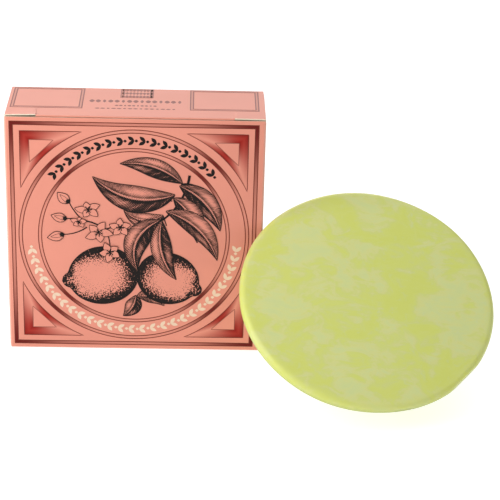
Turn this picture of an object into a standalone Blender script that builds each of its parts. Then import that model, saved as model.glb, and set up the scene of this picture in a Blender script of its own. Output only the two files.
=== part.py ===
"""A shaving soap refill: a puck of hard soap for a shaving bowl, and its square folding carton.

The carton is one sheet of folding board, die cut, creased and glued down one side. Its panels
and flaps turn at creases, so each is a solid of its own with a running gap at every crease.
It closes as a reverse tuck: the top lid turns at the back panel and tucks in behind the front
panel, and the bottom lid turns at the front panel and tucks in behind the back panel. The two
ends are the same set of flaps, turned half a turn about the X axis.

The puck is turned: a flat lathering face with a rounded rim, and a tapered underside that sits
in the well of a bowl. It leans beside the carton's front right corner, on a flat worn into the
edge of its foot.

Frame: +Z up, the front panel faces -Y, and the origin is the middle of the carton's base.
All lengths are in metres.
"""

import math

import bpy

# Driving dimensions of the carton.
WIDTH = 0.085
DEPTH = 0.027
HEIGHT = 0.085
BOARD = 0.0004
CREASE_GAP = 0.0003

# Flaps: how far each reaches from its crease, and how its corners are cut.
LID_SIDE_CLEARANCE = 0.0003
TUCK_ROOT = 0.0012
TUCK_REACH = 0.0127
TUCK_SIDE_CLEARANCE = 0.0015
TUCK_CORNER_RADIUS = 0.006
TUCK_LEAN = math.radians(8)
DUST_LENGTH = 0.022
DUST_FRONT_ROOT = -0.0111
DUST_FRONT_TIP = -0.0074
DUST_BACK_ROOT = 0.0128
DUST_BACK_TIP = 0.0028
DUST_CORNER_RADIUS = 0.0015
GLUE_FLAP_WIDTH = 0.012
GLUE_FLAP_HEIGHT = 0.076
GLUE_FLAP_TAPER = 0.004

# The puck: a rounded rim, a straight taper and a rounded foot.
PUCK_RADIUS = 0.0419
PUCK_THICKNESS = 0.022
PUCK_RIM_RADIUS = 0.002
PUCK_FOOT_RADIUS = 0.004
PUCK_TAPER = math.radians(34)
PUCK_STEPS = 96

# How the puck leans: its face is tipped back from the table and turned a little to the right.
# The soft edge of the foot is worn flat, by PUCK_FLAT at its deepest, where it stands.
PUCK_TIP = math.radians(32.7)
PUCK_TURN = math.radians(10.3)
PUCK_X = 0.0766
PUCK_Y = -0.0343
PUCK_FLAT = 0.0012

ARC_STEPS = 5

PRINTED_BOARD = ((0.80, 0.33, 0.25), 0.55)
PLAIN_BOARD = ((0.78, 0.72, 0.63), 0.75)
SOAP = ((0.58, 0.63, 0.24), 0.42)


def clear_scene():
    """Remove whatever the file opened with."""
    for obj in list(bpy.data.objects):
        bpy.data.objects.remove(obj, do_unlink=True)


def make_material(name, look):
    """A Principled material with the colour and roughness of look."""
    colour, roughness = look
    material = bpy.data.materials.new(name)
    material.use_nodes = True
    shader = material.node_tree.nodes["Principled BSDF"]
    shader.inputs["Base Color"].default_value = (*colour, 1.0)
    shader.inputs["Roughness"].default_value = roughness
    shader.inputs["Metallic"].default_value = 0.0
    return material


def arc(centre, radius, start, end, steps=ARC_STEPS):
    """Points along an arc about centre, from the angle start to the angle end."""
    angles = [start + (end - start) * i / steps for i in range(steps + 1)]
    return [
        (centre[0] + radius * math.cos(a), centre[1] + radius * math.sin(a)) for a in angles
    ]


def rounded(corners):
    """An outline whose corners, given as (x, y, radius), are rounded by arcs."""
    points = []
    count = len(corners)
    for i, (x, y, radius) in enumerate(corners):
        if radius == 0:
            points.append((x, y))
            continue
        before = corners[i - 1]
        after = corners[(i + 1) % count]
        to_before = math.atan2(before[1] - y, before[0] - x)
        to_after = math.atan2(after[1] - y, after[0] - x)
        turn = (to_after - to_before + math.pi) % (2 * math.pi) - math.pi
        middle = to_before + turn / 2
        reach = radius / math.sin(abs(turn) / 2)
        centre = (x + reach * math.cos(middle), y + reach * math.sin(middle))
        start = to_before - math.copysign(math.pi / 2, turn)
        sweep = math.copysign(math.pi - abs(turn), -turn)
        points += arc(centre, radius, start, start + sweep)
    return points


def collect(obj, collection, material, parent=None):
    """Give obj its material, its parent and its place in the collection."""
    obj.data.materials.clear()
    obj.data.materials.append(material)
    for old in list(obj.users_collection):
        old.objects.unlink(obj)
    collection.objects.link(obj)
    obj.parent = parent
    return obj


def make_axis(name, collection, location, rotation=(0, 0, 0), parent=None):
    """An empty on a crease, about whose local X axis a flap turns."""
    axis = bpy.data.objects.new(name, None)
    axis.empty_display_size = 0.005
    axis.location = location
    axis.rotation_euler = rotation
    axis.parent = parent
    collection.objects.link(axis)
    return axis


def make_panel(name, collection, size, centre, material):
    """A flat wall of the carton."""
    bpy.ops.mesh.primitive_cube_add(size=1, location=centre)
    panel = bpy.context.object
    panel.name = name
    panel.scale = size
    bpy.ops.object.transform_apply(location=False, rotation=False, scale=True)
    return collect(panel, collection, material)


def make_sheet(name, collection, outline, material, parent, offset, rotation=(0, 0, 0)):
    """A piece of board cut to outline, in its parent's XY plane, offset from it."""
    curve = bpy.data.curves.new(name, "CURVE")
    curve.dimensions = "2D"
    curve.fill_mode = "BOTH"
    curve.extrude = BOARD / 2
    spline = curve.splines.new("POLY")
    spline.points.add(len(outline) - 1)
    for point, (x, y) in zip(spline.points, outline):
        point.co = (x, y, 0, 1)
    spline.use_cyclic_u = True
    sheet = bpy.data.objects.new(name, curve)
    sheet.location = offset
    sheet.rotation_euler = rotation
    return collect(sheet, collection, material, parent)


def make_walls(collection, board, plain):
    """The four walls of the carton and the flap that glues them into a sleeve."""
    wide_height = HEIGHT - 2 * (BOARD + CREASE_GAP)
    side_height = HEIGHT - 4 * (BOARD + CREASE_GAP)
    side_depth = DEPTH - 2 * (BOARD + CREASE_GAP)
    middle = HEIGHT / 2
    y = (DEPTH - BOARD) / 2
    x = (WIDTH - BOARD) / 2
    make_panel("front_panel", collection, (WIDTH, BOARD, wide_height), (0, -y, middle), board)
    make_panel("back_panel", collection, (WIDTH, BOARD, wide_height), (0, y, middle), board)
    make_panel(
        "left_side_panel", collection, (BOARD, side_depth, side_height), (-x, 0, middle), board
    )
    make_panel(
        "right_side_panel", collection, (BOARD, side_depth, side_height), (x, 0, middle), board
    )

    root = DEPTH / 2 - BOARD - 2 * CREASE_GAP
    tip = root - GLUE_FLAP_WIDTH
    high = GLUE_FLAP_HEIGHT / 2
    low_high = high - GLUE_FLAP_TAPER
    outline = [(root, -high), (root, high), (tip, low_high), (tip, -low_high)]
    inside = -x + BOARD + CREASE_GAP
    upright = (math.pi / 2, 0, math.pi / 2)
    make_sheet("glue_flap", collection, outline, plain, None, (inside, 0, middle), upright)


def lid_outline():
    """The lid, from just clear of its crease to just behind the far wall."""
    half = WIDTH / 2 - LID_SIDE_CLEARANCE
    far = -(DEPTH - BOARD - CREASE_GAP)
    return [(-half, -CREASE_GAP), (-half, far), (half, far), (half, -CREASE_GAP)]


def tuck_outline():
    """The tuck, square at its crease and round at its free corners."""
    half = WIDTH / 2 - TUCK_SIDE_CLEARANCE
    near = -TUCK_ROOT
    far = -TUCK_REACH
    return rounded(
        [
            (-half, near, 0),
            (-half, far, TUCK_CORNER_RADIUS),
            (half, far, TUCK_CORNER_RADIUS),
            (half, near, 0),
        ]
    )


def dust_outline(side):
    """A dust flap, cut back on both edges so that it clears the lid and the tuck as they turn.

    side is 1 on the right and -1 on the left, where the same flap is mirrored.
    """
    near = -CREASE_GAP
    far = -DUST_LENGTH
    corners = [
        (-side * DUST_BACK_ROOT, near, 0),
        (-side * DUST_BACK_TIP, far, DUST_CORNER_RADIUS),
        (-side * DUST_FRONT_TIP, far, DUST_CORNER_RADIUS),
        (-side * DUST_FRONT_ROOT, near, 0),
    ]
    return rounded(corners)


def make_closure(end, collection, half_turn, board):
    """The lid, tuck and two dust flaps of one end, in a frame at the carton's middle."""
    frame = make_axis(f"{end}_closure", collection, (0, 0, HEIGHT / 2), (half_turn, 0, 0))
    above_crease = (BOARD + CREASE_GAP) / 2

    lid_axis_height = HEIGHT / 2 - BOARD - CREASE_GAP / 2
    lid_axis = make_axis(
        f"{end}_lid_axis", collection, (0, DEPTH / 2, lid_axis_height), parent=frame
    )
    lid_offset = (0, 0, above_crease)
    make_sheet(f"{end}_lid", collection, lid_outline(), board, lid_axis, lid_offset)

    tuck_place = (0, -(DEPTH - BOARD - CREASE_GAP), BOARD + CREASE_GAP / 2)
    tuck_turn = (math.pi / 2 + TUCK_LEAN, 0, 0)
    tuck_axis = make_axis(f"{end}_tuck_axis", collection, tuck_place, tuck_turn, lid_axis)
    tuck_offset = (0, 0, -BOARD / 2)
    make_sheet(f"{end}_tuck", collection, tuck_outline(), board, tuck_axis, tuck_offset)

    dust_axis_height = HEIGHT / 2 - 2 * BOARD - 1.5 * CREASE_GAP
    for side, word in ((-1, "left"), (1, "right")):
        place = (side * WIDTH / 2, 0, dust_axis_height)
        turn = (0, 0, -side * math.pi / 2)
        axis = make_axis(f"{end}_dust_axis_{word}", collection, place, turn, frame)
        name = f"{end}_dust_flap_{word}"
        make_sheet(name, collection, dust_outline(side), board, axis, (0, 0, above_crease))


def puck_profile():
    """The puck's half section, from the middle of its face down its outer side to its foot."""
    wall_angle = PUCK_TAPER
    rim_centre = (PUCK_RADIUS - PUCK_RIM_RADIUS, -PUCK_RIM_RADIUS)
    rim = arc(rim_centre, PUCK_RIM_RADIUS, math.pi / 2, -wall_angle)

    rim_end = rim[-1]
    wall_drop = PUCK_THICKNESS + rim_end[1]
    foot_corner = rim_end[0] - wall_drop * math.tan(wall_angle)
    setback = PUCK_FOOT_RADIUS * math.tan((math.pi / 2 - wall_angle) / 2)
    foot_centre = (foot_corner - setback, PUCK_FOOT_RADIUS - PUCK_THICKNESS)
    foot = arc(foot_centre, PUCK_FOOT_RADIUS, -wall_angle, -math.pi / 2)
    return [(0.0, 0.0)] + rim + foot + [(0.0, -PUCK_THICKNESS)]


def make_table_block():
    """A block with its top at the height of the table, which cuts the puck's standing flat."""
    cutters = bpy.data.collections.new("cutters")
    bpy.context.scene.collection.children.link(cutters)
    size = 4 * PUCK_RADIUS
    bpy.ops.mesh.primitive_cube_add(size=size, location=(PUCK_X, PUCK_Y, -size / 2))
    block = bpy.context.object
    block.name = "table_block"
    block.hide_render = True
    block.display_type = "WIRE"
    for old in list(block.users_collection):
        old.objects.unlink(block)
    cutters.objects.link(block)
    return block


def make_puck(collection, soap):
    """The puck, turned about its own axis, leaned, and cut flat where it meets the table."""
    profile = puck_profile()
    mesh = bpy.data.meshes.new("soap_puck")
    points = [(x, 0, z) for x, z in profile]
    edges = [(i, i + 1) for i in range(len(points) - 1)]
    mesh.from_pydata(points, edges, [])
    puck = bpy.data.objects.new("soap_puck", mesh)

    turned = puck.modifiers.new("Turned", "SCREW")
    turned.steps = PUCK_STEPS
    turned.render_steps = PUCK_STEPS
    turned.use_merge_vertices = True
    turned.merge_threshold = 0.00001
    turned.use_smooth_shade = True

    standing = puck.modifiers.new("Standing flat", "BOOLEAN")
    standing.operation = "DIFFERENCE"
    standing.object = make_table_block()

    reach_down = max(x * math.sin(PUCK_TIP) - z * math.cos(PUCK_TIP) for x, z in profile)
    puck.location = (PUCK_X, PUCK_Y, reach_down - PUCK_FLAT)
    puck.rotation_euler = (PUCK_TIP, 0, PUCK_TURN)
    return collect(puck, collection, soap)


def build():
    """Make the carton and the puck."""
    clear_scene()
    collection = bpy.data.collections.new("shaving_soap_refill")
    bpy.context.scene.collection.children.link(collection)
    board = make_material("printed_board", PRINTED_BOARD)
    plain = make_material("plain_board", PLAIN_BOARD)
    soap = make_material("soap", SOAP)

    make_walls(collection, board, plain)
    make_closure("top", collection, 0, board)
    make_closure("bottom", collection, math.pi, board)
    make_puck(collection, soap)


build()
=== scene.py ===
"""A shaving soap refill: a marbled puck of hard soap leaning beside its printed folding carton.

The carton is one sheet of folding board, printed salmon pink on its outer side, cut, creased and
glued into a sleeve with a tuck flap at each end. The puck is milled soap, pressed and tapered to
drop into a shaving bowl. Lengths are in millimetres, and become metres where a mesh is built.
"""

import math

import bpy
import numpy as np
from mathutils import Matrix, Vector


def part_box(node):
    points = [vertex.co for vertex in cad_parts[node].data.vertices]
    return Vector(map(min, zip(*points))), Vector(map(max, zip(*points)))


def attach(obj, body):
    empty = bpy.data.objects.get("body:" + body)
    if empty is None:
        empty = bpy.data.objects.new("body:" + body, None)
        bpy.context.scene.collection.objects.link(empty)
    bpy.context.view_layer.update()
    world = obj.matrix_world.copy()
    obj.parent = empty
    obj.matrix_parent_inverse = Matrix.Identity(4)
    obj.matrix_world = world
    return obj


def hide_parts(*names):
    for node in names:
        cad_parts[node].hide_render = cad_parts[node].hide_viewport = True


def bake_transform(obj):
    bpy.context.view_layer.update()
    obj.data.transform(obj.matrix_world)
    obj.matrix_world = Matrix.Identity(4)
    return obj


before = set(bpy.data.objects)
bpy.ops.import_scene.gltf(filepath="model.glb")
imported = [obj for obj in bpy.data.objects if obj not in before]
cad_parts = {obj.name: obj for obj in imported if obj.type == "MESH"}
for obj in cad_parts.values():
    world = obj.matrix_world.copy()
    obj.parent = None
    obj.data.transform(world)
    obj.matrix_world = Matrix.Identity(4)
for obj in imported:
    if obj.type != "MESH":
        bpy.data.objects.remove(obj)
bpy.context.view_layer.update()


# --------------------------------------
# The studio: a long lens a little above the pieces, a floor of white acrylic, a near softbox to
# the left and two large ones above and behind. None of it belongs to the object.
# --------------------------------------

MM = 0.001
CAMERA_PLACE = (0.0197, -0.5670, 0.2965)        # metres
CAMERA_YAW = math.radians(-1.94)
CAMERA_TILT = math.radians(65.0)
CAMERA_ROLL = math.radians(1.79)
LENS = 131.4
SENSOR = 36.0
SKY = 0.40          # the strength of the light from all round
FLOOR_HALF = 4.0    # metres
FLOOR_GLOW = 0.72

bring_in = bpy.context.scene.collection.objects.link


def linear(code):
    """An sRGB colour written as '#rrggbb', as linear red, green, blue and an alpha of one."""
    parts = np.array([int(code[i:i + 2], 16) for i in (1, 3, 5)]) / 255.0
    curved = ((parts + 0.055) / 1.055) ** 2.4
    values = np.where(parts <= 0.04045, parts / 12.92, curved)
    return tuple(float(v) for v in values) + (1.0,)


def add_node(tree, kind, settings={}, links={}):
    """One node. Settings go to its properties or its inputs by name or number, links to inputs.

    A link is an output, or a node for its first output.
    """
    made = tree.nodes.new("ShaderNode" + kind)
    for name, value in settings.items():
        if isinstance(name, str) and name not in made.inputs:
            setattr(made, name, value)
    for name, value in settings.items():
        if not isinstance(name, str) or name in made.inputs:
            made.inputs[name].default_value = value
    for name, source in links.items():
        tree.links.new(getattr(source, "outputs", [source])[0], made.inputs[name])
    return made


def new_material(name):
    """A material with nothing in its tree but its coordinates: it, the tree and those."""
    material = bpy.data.materials.new(name)
    material.use_nodes = True
    tree = material.node_tree
    tree.nodes.clear()
    return material, tree, add_node(tree, "TexCoord").outputs["Object"]


def add_light(name, place, aim, size, power, tint):
    """A square softbox: size, place and aim in metres, power in watts."""
    data = bpy.data.lights.new(name, "AREA")
    data.shape = "SQUARE"
    data.size = size
    data.energy = power
    data.color = linear(tint)[:3]
    light = bpy.data.objects.new(name, data)
    towards = np.array(aim) - np.array(place)
    light.location = place
    light.rotation_euler = Vector(towards).to_track_quat("-Z", "Y").to_euler()
    bring_in(light)


camera_data = bpy.data.cameras.new("camera")
camera_data.lens = LENS
camera_data.sensor_width = SENSOR
camera = bpy.data.objects.new("camera", camera_data)
camera.location = CAMERA_PLACE
turn = (
    Matrix.Rotation(CAMERA_YAW, 3, "Z")
    @ Matrix.Rotation(CAMERA_TILT, 3, "X")
    @ Matrix.Rotation(CAMERA_ROLL, 3, "Z")
)
camera.rotation_euler = turn.to_euler()
bring_in(camera)
bpy.context.scene.camera = camera
bpy.context.scene.view_settings.view_transform = "Standard"

add_light("softbox_left", (-0.26, -0.17, 0.22), (0.0, 0.0, 0.04), 0.22, 1.02, "#fffcf8")
add_light("softbox_above", (0.15, -0.15, 1.0), (0.03, 0.0, 0.0), 0.9, 2.4, "#ffffff")
add_light("softbox_behind", (0.0, 0.9, 0.48), (0.0, 0.0, 0.08), 0.9, 5.0, "#ffffff")

world = bpy.data.worlds.new("studio")
world.use_nodes = True
bpy.context.scene.world = world
sky = world.node_tree.nodes["Background"].inputs
sky["Color"].default_value = linear("#fffdfa")
sky["Strength"].default_value = SKY

floor_mesh = bpy.data.meshes.new("sweep")
floor_corners = ((-1, -1, 0), (1, -1, 0), (1, 1, 0), (-1, 1, 0))
floor_mesh.from_pydata((np.array(floor_corners) * FLOOR_HALF).tolist(), [], [(0, 1, 2, 3)])
floor = bpy.data.objects.new("sweep", floor_mesh)
bring_in(floor)

# Opal acrylic lit from below, as on a light table: plain white, with hardly a shadow on it.
acrylic, tree, place = new_material("white_acrylic_lit_from_below")
glow = {"Emission Color": linear("#ffffff"), "Emission Strength": FLOOR_GLOW}
opal = add_node(tree, "BsdfPrincipled", {"Base Color": linear("#bcbcbc"), "Roughness": 0.9, **glow})
add_node(tree, "OutputMaterial", {}, {"Surface": opal})
floor_mesh.materials.append(acrylic)


# --------------------------------------
# The board: folding board 0.4 mm thick, offset printed in one salmon pink on its outer side and
# sealed with a satin water varnish. It is cut and creased before it is glued.
# --------------------------------------

BOARD = 0.4
SMOOTH_TO = math.radians(40)    # a sharper edge than this stays crisp
SALMON = "#d98d7b"
# the paler pink of the creases: cracked ink, and a painted highlight on the rounded folds
SALMON_CREASE_WEAR_AND_HIGHLIGHT = "#ebbdac"
BARE_BOARD = "#e8dcc6"
PULP = "#d6c7b0"
PULP_SPECK = 0.6    # mm
FIBRE = 0.48        # mm, four times as coarse as real fibre bundles, so that they show
FIBRE_HIGH = 0.02
MOTTLE = 14.0       # mm, how far apart the ink lies thicker and thinner


def board_colour(tree, coordinates):
    """The printed board's salmon, a little uneven, paler at creases: cracked ink and a painted
    highlight.
    """
    clouds = {"Scale": 1 / (MOTTLE * MM), "Detail": 3.0}
    mottle = add_node(tree, "TexNoise", clouds, {"Vector": coordinates})
    little = {"From Min": 0.3, "From Max": 0.7, "To Min": 0.975, "To Max": 1.025}
    uneven = add_node(tree, "MapRange", little, {"Value": mottle})
    tint = add_node(tree, "HueSaturation", {"Color": linear(SALMON)}, {"Value": uneven})
    crease_wear_and_highlight = add_node(tree, "Attribute", {"attribute_name": "crease_wear_and_highlight"}).outputs["Fac"]
    return add_node(tree, "MixRGB", {2: linear(SALMON_CREASE_WEAR_AND_HIGHLIGHT)}, {0: crease_wear_and_highlight, 1: tint})


def finish_board(tree, coordinates, colour, roughness):
    """Varnish over paper fibre: a fine bump under a satin coat, ending in the output."""
    fine = {"Scale": 1 / (FIBRE * MM), "Detail": 4.0}
    fibre = add_node(tree, "TexNoise", fine, {"Vector": coordinates})
    raised = {"Strength": 0.25, "Distance": FIBRE_HIGH * MM}
    bump = add_node(tree, "Bump", raised, {"Height": fibre})
    coat = {"Roughness": roughness, "IOR": 1.46, "Specular IOR Level": 0.2}
    shader = add_node(tree, "BsdfPrincipled", coat, {"Base Color": colour, "Normal": bump})
    add_node(tree, "OutputMaterial", {}, {"Surface": shader})


# Satin water varnish over salmon ink: a soft, broad sheen, and a paler pink at the creases,
# which is partly cracked ink and partly a painted highlight on the rounded folds.
varnished_board, tree, place = new_material("varnished_salmon_board")
finish_board(tree, place, board_colour(tree, place), 0.42)

# Bare board, as its inner side and its cut edges show: cream pulp, dull and finely specked.
bare_board, tree, place = new_material("bare_folding_board")
flecks = add_node(tree, "TexNoise", {"Scale": 1 / (PULP_SPECK * MM), "Detail": 5.0}, {"Vector": place})
pulp = add_node(tree, "MixRGB", {1: linear(PULP), 2: linear(BARE_BOARD)}, {0: flecks})
finish_board(tree, place, pulp, 0.85)


def quads(rows, columns, wrap):
    """The faces of a grid of rows by columns, as vertex numbers, joined round if it wraps."""
    last = rows if wrap else rows - 1
    i, j = np.meshgrid(np.arange(last), np.arange(columns - 1), indexing="ij")
    k = (i + 1) % rows
    corners = (i * columns + j, k * columns + j, k * columns + j + 1, i * columns + j + 1)
    return np.stack(corners, -1).reshape(-1, 4)


def slab(outer, inner, values=None, wrap=False):
    """A closed sheet from two grids of points in mm, its printed face and its back.

    The two grids are joined by walls along the edges of the grid, which show the cut board.
    Returns its points, faces, which faces are printed, and its named values at each point.
    """
    rows, columns, _ = outer.shape
    count = rows * columns
    grid = quads(rows, columns, wrap)
    back = grid[:, ::-1] + count
    along = np.arange(rows if wrap else rows - 1)
    after = (along + 1) % rows
    walls = []
    for column, order in ((0, 1), (columns - 1, -1)):
        near, far = along * columns + column, after * columns + column
        walls.append(np.stack((near, near + count, far + count, far), -1)[:, ::order])
    if not wrap:
        across = np.arange(columns - 1)
        for row, order in ((0, -1), (rows - 1, 1)):
            near, far = row * columns + across, row * columns + across + 1
            walls.append(np.stack((near, near + count, far + count, far), -1)[:, ::order])
    faces = np.concatenate([grid, back] + walls)
    points = np.concatenate([outer.reshape(-1, 3), inner.reshape(-1, 3)])
    a, b, c, d = (points[faces[:, n]] for n in range(4))
    volume = np.einsum("ij,ij->", a, np.cross(b, c)) + np.einsum("ij,ij->", a, np.cross(c, d))
    if volume < 0:      # its faces point inwards
        faces = faces[:, ::-1]
    printed = np.arange(len(faces)) < len(grid)
    named = {key: np.tile(np.asarray(v, float).reshape(count, -1), (2, 1))
             for key, v in (values or {}).items()}
    return points, faces, printed, named


def make_piece(name, slabs, materials):
    """One object from slabs. Its printed faces take the first material, the rest the second."""
    starts = np.cumsum([0] + [len(one[0]) for one in slabs])
    points = np.concatenate([one[0] for one in slabs])
    faces = np.concatenate([one[1] + start for one, start in zip(slabs, starts)])
    printed = np.concatenate([one[2] for one in slabs])
    mesh = bpy.data.meshes.new(name)
    mesh.vertices.add(len(points))
    mesh.vertices.foreach_set("co", (points * MM).ravel())
    mesh.loops.add(faces.size)
    mesh.loops.foreach_set("vertex_index", faces.ravel().astype(np.int32))
    mesh.polygons.add(len(faces))
    mesh.polygons.foreach_set("loop_start", np.arange(0, faces.size, 4, dtype=np.int32))
    for material in materials:
        mesh.materials.append(material)
    if len(materials) > 1:
        mesh.polygons.foreach_set("material_index", (~printed).astype(np.int32))
    for key in slabs[0][3]:
        together = np.concatenate([one[3][key] for one in slabs])
        kind, field = ("FLOAT", "value") if together.shape[1] == 1 else ("FLOAT_COLOR", "color")
        mesh.attributes.new(key, kind, "POINT").data.foreach_set(field, together.ravel())
    mesh.update(calc_edges=True)
    mesh.shade_smooth()
    mesh.set_sharp_from_angle(angle=SMOOTH_TO)
    piece = bpy.data.objects.new(name, mesh)
    bring_in(piece)
    return piece


def board_piece(name, sheet, *nodes):
    """A wall or flap of the carton, printed outside and bare inside, in place of CAD nodes."""
    piece = make_piece(name, [slab(*sheet)], [varnished_board, bare_board])
    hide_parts(*nodes)
    return piece


def fold(corners, step):
    """A folded strip in plan: straight runs joined by round creases at corners (x, y, radius).

    Each crease is the arc that touches both runs. Returns a function from distances along the
    strip to points and outward normals, and the distances of its own points.
    """
    runs = [np.array(corners[0][:2], float)]
    for i in range(1, len(corners) - 1):
        here = np.array(corners[i][:2], float)
        before = np.array(corners[i - 1][:2]) - here
        after = np.array(corners[i + 1][:2]) - here
        before, after = before / np.linalg.norm(before), after / np.linalg.norm(after)
        half = math.acos(float(before @ after)) / 2
        radius = corners[i][2]
        centre = here + (before + after) / np.linalg.norm(before + after) * radius / math.sin(half)
        first = here + before * radius / math.tan(half) - centre
        last = here + after * radius / math.tan(half) - centre
        t = np.linspace(0, 1, 9)[:, None]
        sweep_angle = math.pi - 2 * half
        arc = (np.sin((1 - t) * sweep_angle) * first + np.sin(t * sweep_angle) * last)
        runs += list(centre + arc / math.sin(sweep_angle))
    runs.append(np.array(corners[-1][:2], float))
    points = [runs[0]]
    for target in runs[1:]:
        gap = np.linalg.norm(target - points[-1])
        if gap < 1e-6:
            continue
        pieces = max(1, round(gap / step))
        start = points[-1]
        points += [start + (target - start) * (k + 1) / pieces for k in range(pieces)]
    points = np.array(points)
    way = np.gradient(points, axis=0)
    way /= np.linalg.norm(way, axis=1)[:, None]
    normals = np.stack([way[:, 1], -way[:, 0]], -1)
    lengths = np.concatenate([[0], np.cumsum(np.linalg.norm(np.diff(points, axis=0), axis=1))])

    def at(distance):
        """Points and normals at the distances given, in the strip's own plane."""
        place_at = np.stack([np.interp(distance, lengths, points[:, k]) for k in (0, 1)], -1)
        out = np.stack([np.interp(distance, lengths, normals[:, k]) for k in (0, 1)], -1)
        return place_at, out / np.linalg.norm(out, axis=-1, keepdims=True)

    return at, lengths


# --------------------------------------
# The sleeve: four walls in one strip, creased at three corners, with a glue flap that turns in
# behind the left wall and is glued there. The walls stand out by a hair in their middles.
# --------------------------------------

low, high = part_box("front_panel")
LEFT, RIGHT = low.x / MM, high.x / MM
FRONT = low.y / MM
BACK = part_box("back_panel")[1].y / MM
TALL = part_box("top_lid")[1].z / MM
MIDDLE = TALL / 2
WALL_HALF = (high.z - low.z) / MM / 2
SIDE_HALF = (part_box("left_side_panel")[1].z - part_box("left_side_panel")[0].z) / MM / 2
FLAP_WIDTH = (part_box("glue_flap")[1].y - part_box("glue_flap")[0].y) / MM
FLAP_HALF = (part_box("glue_flap")[1].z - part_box("glue_flap")[0].z) / MM / 2
FLAP_TAPER = 4.0
CREASE = 0.7
BULGE = 0.18
CREASE_WEAR_AND_HIGHLIGHT = 0.5   # how pale a crease is painted, from 0 to 1: cracked ink and a painted highlight
# the same at the tuck's fold, on the roll's upper front only: cracked ink and a painted highlight
FOLD_WEAR_AND_HIGHLIGHT = 0.2
PAPER_GAP = 0.05


def bulge(x, z):
    """How far a wide wall stands out: most in its middle, by a parabola each way, to 0 at its
    edges."""
    across = 1 - (x / RIGHT) ** 2
    up = 1 - ((z - MIDDLE) / MIDDLE) ** 2
    return BULGE * np.clip(across, 0, 1) * np.clip(up, 0, 1)


tucked = LEFT + BOARD + PAPER_GAP
sleeve_at, sleeve_lengths = fold(
    [
        (LEFT, BACK - CREASE), (LEFT, FRONT, CREASE), (RIGHT, FRONT, CREASE), (RIGHT, BACK, CREASE),
        (tucked, BACK, CREASE), (tucked, BACK - FLAP_WIDTH - CREASE),
    ], 3.0,
)
plan, plan_out = sleeve_at(sleeve_lengths)
x, y = plan[:, 0], plan[:, 1]
is_flap = (np.arange(len(x)) > len(x) // 2) & (x < tucked + CREASE / 2) & (y < BACK - CREASE / 2)
is_side = (np.abs(x) > RIGHT - CREASE / 4) & ~is_flap
flap_run = np.clip((BACK - CREASE - y) / FLAP_WIDTH, 0, 1)
half = np.where(is_side, SIDE_HALF, WALL_HALF)
half = np.where(is_flap, FLAP_HALF - FLAP_TAPER * flap_run, half)
levels = np.sin(np.linspace(-math.pi / 2, math.pi / 2, 41))
z = MIDDLE + half[:, None] * levels
stand_out = bulge(x[:, None], z) * np.abs(plan_out[:, 1:2])
sleeve_y = y[:, None] + np.sign(plan_out[:, 1:2]) * stand_out * ~is_flap[:, None]
sleeve_outer = np.stack([x[:, None] + 0 * z, sleeve_y, z], -1)
sleeve_out = np.stack([plan_out[:, 0], plan_out[:, 1], 0 * x], -1)[:, None]
# The corners are painted paler where the wall turns: cracked ink, and a painted highlight on the
# rounded crease.
turning = np.abs(plan_out[:, 0] * plan_out[:, 1]) * 2
sleeve_wear_and_highlight = CREASE_WEAR_AND_HIGHLIGHT * turning[:, None] + 0 * z
sleeve = board_piece(
    "carton_sleeve", (sleeve_outer, sleeve_outer - BOARD * sleeve_out, {"crease_wear_and_highlight": sleeve_wear_and_highlight}),
    "front_panel", "back_panel", "left_side_panel", "right_side_panel", "glue_flap",
)
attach(sleeve, "carton")


# --------------------------------------
# The two closures. A lid turns at the top of the back wall, and its tuck goes down behind the
# front wall. Slits at both ends of the tuck's crease lock it, and leave a tongue of the lid
# showing its cut edge. The bottom closure is the same, turned half a turn.
# --------------------------------------

SLIT = 10.0
SLIT_WIDTH = 0.06
LID_HALF = (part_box("top_lid")[1].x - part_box("top_lid")[0].x) / MM / 2
TUCK_HALF = (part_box("top_tuck")[1].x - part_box("top_tuck")[0].x) / MM / 2
TUCK_LEAN = math.radians(8)
TUCK_REACH = 12.7
TUCK_CORNER = 6.0
FOLD = 0.6
OVERHANG = 0.06
BEAD_RADIUS = 0.3
BEAD_DEEP = 0.42
STEP_DEEP = 0.55
STEP_RADIUS = 0.04
FOLD_FRONT = FRONT + BOARD + PAPER_GAP
TONGUE_FRONT = FRONT + 0.15
TONGUE_LIFT = {-1: 0.34, 1: 0.12}       # the left and the right tongue of the top lid
TONGUE_RUN = 7.0
DUST_REACH = 22.0
DUST_ROOT = (-11.1, 12.8)
DUST_TIP = (-7.4, 2.8)
DUST_CORNER = 1.5


def half_turn(points, end):
    """Points of the top closure, or the same turned half round the carton's middle."""
    if end == "top":
        return points
    return points * (1, -1, -1) + (0, 0, TALL)


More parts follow.
